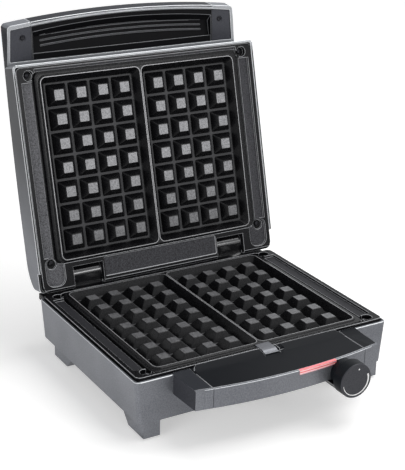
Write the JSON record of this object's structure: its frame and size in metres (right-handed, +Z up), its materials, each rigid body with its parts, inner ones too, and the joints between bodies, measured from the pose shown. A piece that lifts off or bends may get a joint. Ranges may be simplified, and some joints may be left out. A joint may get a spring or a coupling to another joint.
{
  "type": "waffle maker",
  "caption": "Electric waffle maker with two rectangular studded cavities, a hinged lid standing open, arched front bars, a dial thermostat and a plate release clip",
  "frame": {"origin": "under the middle of the whole appliance with its lid open, on the table", "axes": "+X to the user's right, +Y to the rear, +Z up; the front bar and knob face -Y"},
  "size_m": [0.274, 0.3676, 0.3215],
  "materials": {
    "grey_housing": "metallic grey lacquer on moulded plastic",
    "black_plastic": "satin black moulded plastic with fine texture",
    "dark_grey_plastic": "satin dark grey moulded plastic",
    "knob_plastic": "semi-gloss black plastic with white dial marks",
    "nonstick_plate": "die-cast aluminium with black non-stick coating",
    "steel_tube": "tubular heating element",
    "bright_sheet": "aluminium sheet",
    "bright_steel": "bright steel",
    "dark_screw": "blackened steel",
    "steel_cover": "black painted steel sheet",
    "rubber_pad": "black rubber",
    "pale_plastic": "heat-resistant moulding",
    "red_lens": "translucent red plastic lens"
  },
  "bodies": {
    "base": {"base_shell": "grey_housing", "bottom_cover": "steel_cover", "foot_pad_front_left": "rubber_pad", "foot_pad_front_right": "rubber_pad", "foot_pad_rear_left": "rubber_pad", "foot_pad_rear_right": "rubber_pad", "base_frame": "black_plastic", "lower_plate": "nonstick_plate", "lower_element": "steel_tube", "lower_reflector": "bright_sheet", "base_frame_screw_front_left": "dark_screw", "base_frame_screw_front_right": "dark_screw", "base_frame_screw_rear_left": "dark_screw", "base_frame_screw_rear_right": "dark_screw", "cord_gland": "rubber_pad", "terminal_block": "pale_plastic", "hinge_knuckle_left": "black_plastic", "hinge_knuckle_right": "black_plastic", "hinge_cover": "black_plastic", "hinge_pin_left": "bright_steel", "hinge_pin_right": "bright_steel", "bar_fascia_center": "grey_housing", "bar_fascia_left": "grey_housing", "bar_fascia_right": "grey_housing", "indicator_lens": "red_lens", "bar_end_left": "black_plastic", "bar_end_right": "black_plastic", "bar_top_panel": "black_plastic", "bar_bottom_tray": "black_plastic", "knob_collar": "dark_grey_plastic", "knob_housing": "black_plastic", "thermostat_body": "pale_plastic"},
    "knob": {"knob": "knob_plastic", "knob_shaft": "bright_steel"},
    "plate_clip": {"plate_clip": "bright_steel"},
    "lid": {"lid_shell": "grey_housing", "handle_band": "grey_housing", "handle_grip": "black_plastic", "handle_panel_left": "black_plastic", "handle_panel_right": "black_plastic", "handle_screw_left": "dark_screw", "handle_screw_right": "dark_screw", "lid_frame": "black_plastic", "upper_plate": "nonstick_plate", "upper_element": "steel_tube", "upper_reflector": "bright_sheet", "lid_frame_screw_front_left": "dark_screw", "lid_frame_screw_front_right": "dark_screw", "lid_frame_screw_rear_left": "dark_screw", "lid_frame_screw_rear_right": "dark_screw"}
  },
  "joints": [
    {"name": "lid_hinge", "type": "hinge", "parent": "base", "child": "lid", "pos_m": [0, 0.09521, 0.074], "axis": [1, 0, 0], "range_deg": [0, 105]},
    {"name": "knob_turn", "type": "hinge", "parent": "base", "child": "knob", "pos_m": [0.051, -0.17679, 0.046], "axis": [0, 1, 0], "range_deg": [0, 270]},
    {"name": "clip_release", "type": "slide", "parent": "base", "child": "plate_clip", "axis": [0, -1, 0], "range_m": [0, 0.004], "stiffness_N_per_m": 500}
  ]
}
